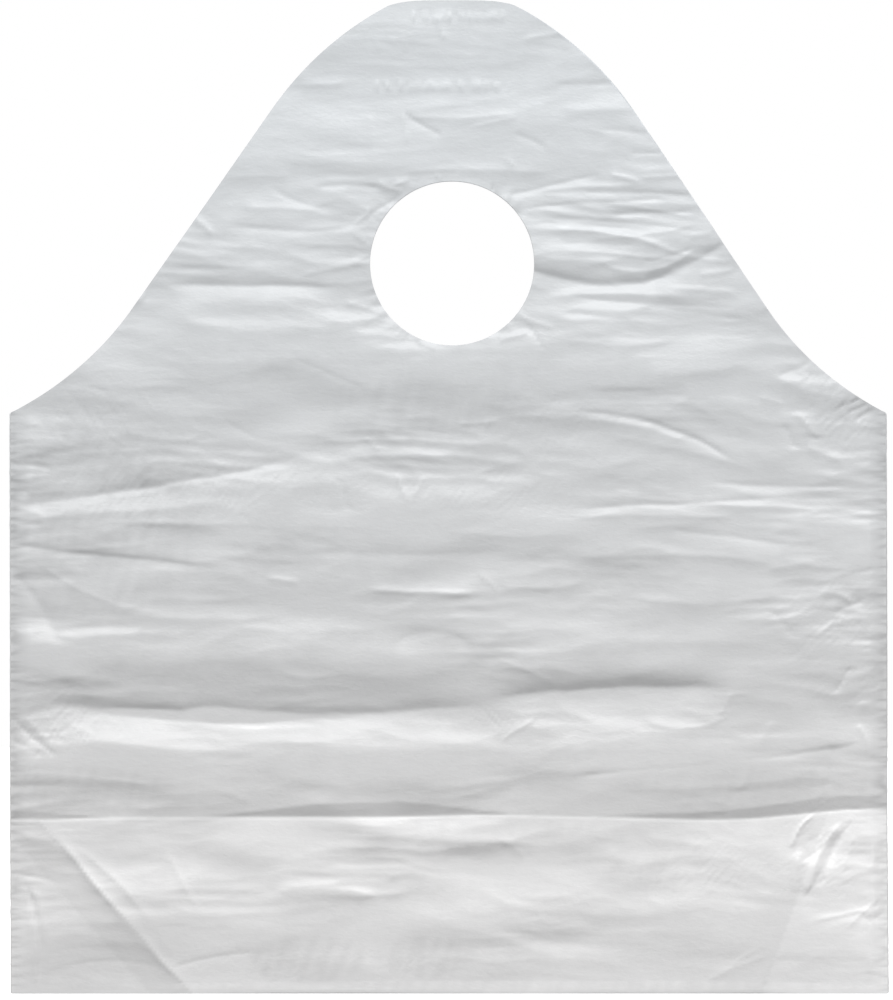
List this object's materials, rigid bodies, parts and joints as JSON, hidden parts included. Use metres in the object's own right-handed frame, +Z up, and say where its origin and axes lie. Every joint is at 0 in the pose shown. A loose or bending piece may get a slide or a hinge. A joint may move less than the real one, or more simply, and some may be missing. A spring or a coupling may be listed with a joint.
{
  "type": "wave-top plastic carry-out bag",
  "caption": "White plastic carry-out bag with a wave-cut top, a round hand hole, welded sides and a folding bottom gusset, lying flat.",
  "frame": {"origin": "middle of the bottom fold, in the middle of the flat stack of film", "axes": "+X to the right as seen from the front, +Z up towards the hand hole, front faces -Y"},
  "size_m": [0.508, 0.0016, 0.575],
  "materials": {
    "film": "satin",
    "gusset_film": "satin",
    "weld": "gloss"
  },
  "bodies": {
    "back_panel": {"back_wall": "film"},
    "back_gusset_half": {"back_gusset": "gusset_film"},
    "front_gusset_half": {"front_gusset": "gusset_film"},
    "front_panel": {"front_wall": "film"},
    "back_left_side": {"back_left_side_wall": "film", "back_left_gusset_end": "gusset_film", "left_side_weld": "weld"},
    "back_right_side": {"back_right_side_wall": "film", "back_right_gusset_end": "gusset_film", "right_side_weld": "weld"},
    "front_left_side": {"front_left_side_wall": "film", "front_left_gusset_end": "gusset_film"},
    "front_right_side": {"front_right_side_wall": "film", "front_right_gusset_end": "gusset_film"},
    "front_grip": {"front_grip_band": "film"},
    "back_grip": {"back_grip_band": "film"}
  },
  "joints": [
    {"name": "base_unfold", "type": "hinge", "parent": "back_panel", "child": "back_gusset_half", "pos_m": [0, 0.0005, 0.0005], "axis": [1, 0, 0], "range_deg": [0, 90]},
    {"name": "gusset_middle_fold", "type": "hinge", "parent": "back_gusset_half", "child": "front_gusset_half", "pos_m": [0, 0, 0.1025], "axis": [1, 0, 0], "range_deg": [-180, 0]},
    {"name": "front_bottom_fold", "type": "hinge", "parent": "front_gusset_half", "child": "front_panel", "pos_m": [0, -0.0005, 0.0005], "axis": [1, 0, 0], "range_deg": [0, 90]},
    {"name": "back_left_crease", "type": "hinge", "parent": "back_panel", "child": "back_left_side", "pos_m": [-0.152, 0.00075, 0], "axis": [0, 0, 1], "range_deg": [0, 90]},
    {"name": "back_right_crease", "type": "hinge", "parent": "back_panel", "child": "back_right_side", "pos_m": [0.152, 0.00075, 0], "axis": [0, 0, -1], "range_deg": [0, 90]},
    {"name": "front_left_crease", "type": "hinge", "parent": "front_panel", "child": "front_left_side", "pos_m": [-0.152, -0.00075, 0], "axis": [0, 0, -1], "range_deg": [0, 90]},
    {"name": "front_right_crease", "type": "hinge", "parent": "front_panel", "child": "front_right_side", "pos_m": [0.152, -0.00075, 0], "axis": [0, 0, 1], "range_deg": [0, 90]},
    {"name": "front_grip_fold", "type": "hinge", "parent": "front_panel", "child": "front_grip", "pos_m": [0, -0.00075, 0.48], "axis": [1, 0, 0], "range_deg": [0, 160]},
    {"name": "back_grip_fold", "type": "hinge", "parent": "back_panel", "child": "back_grip", "pos_m": [0, 0.00075, 0.48], "axis": [-1, 0, 0], "range_deg": [0, 160]}
  ],
  "couplings": [
    {"joint": "gusset_middle_fold", "follows": "base_unfold", "ratio": -2},
    {"joint": "front_bottom_fold", "follows": "base_unfold", "ratio": 1},
    {"joint": "back_left_crease", "follows": "base_unfold", "ratio": 1},
    {"joint": "back_right_crease", "follows": "base_unfold", "ratio": 1},
    {"joint": "front_left_crease", "follows": "base_unfold", "ratio": 1},
    {"joint": "front_right_crease", "follows": "base_unfold", "ratio": 1}
  ]
}
